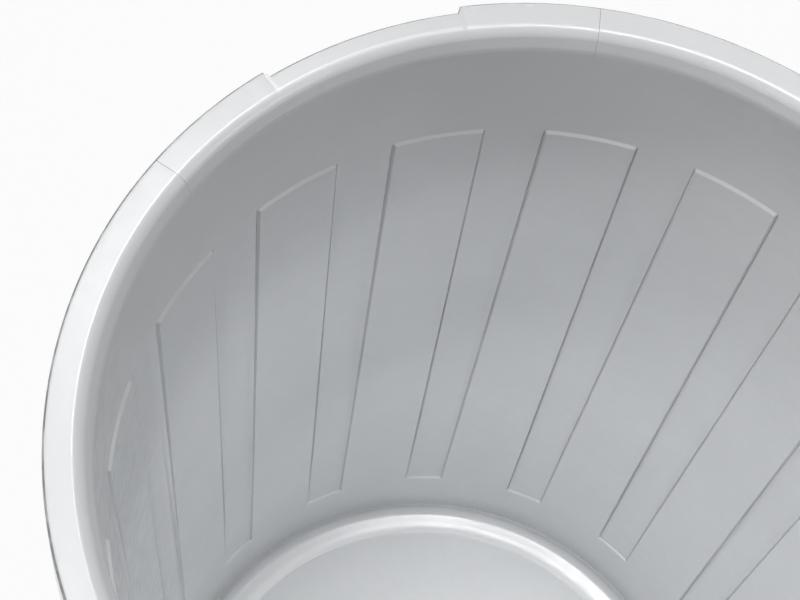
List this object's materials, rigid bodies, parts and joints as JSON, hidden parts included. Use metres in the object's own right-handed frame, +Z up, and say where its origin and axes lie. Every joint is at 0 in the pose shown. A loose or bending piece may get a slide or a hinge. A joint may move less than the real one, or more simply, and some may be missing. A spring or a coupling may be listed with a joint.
{
  "type": "trash can",
  "caption": "Round open-topped utility trash can with a tapered wall of shallow upright panels, a flat-topped skirted rim and swing handles for carrying.",
  "frame": {"origin": "on the ground under the middle of the can", "axes": "+Z up along the axis of the can; the two handles lie on the X axis, and +Y is the back"},
  "size_m": [0.58, 0.559, 0.692],
  "materials": {
    "tub_plastic": "moulded light grey polyethylene, semi-gloss",
    "rim_plastic": "moulded light grey polyethylene, semi-gloss",
    "handle_plastic": "moulded light grey polyethylene, semi-gloss",
    "fastener_steel": "zinc plated"
  },
  "bodies": {
    "can": {"tub": "tub_plastic", "rim_front": "rim_plastic", "rim_back": "rim_plastic", "rim_left": "rim_plastic", "rim_right": "rim_plastic", "rim_screws": "fastener_steel", "pin_left_front": "fastener_steel", "pin_left_back": "fastener_steel", "pin_right_front": "fastener_steel", "pin_right_back": "fastener_steel", "pin_retainers": "fastener_steel"},
    "left_handle": {"handle_left": "handle_plastic"},
    "right_handle": {"handle_right": "handle_plastic"}
  },
  "joints": [
    {"name": "left_handle_swing", "type": "hinge", "parent": "can", "child": "left_handle", "pos_m": [-0.28, 0, 0.64], "axis": [0, 1, 0], "range_deg": [-8, 175]},
    {"name": "right_handle_swing", "type": "hinge", "parent": "can", "child": "right_handle", "pos_m": [0.28, 0, 0.64], "axis": [0, -1, 0], "range_deg": [-8, 175]}
  ]
}
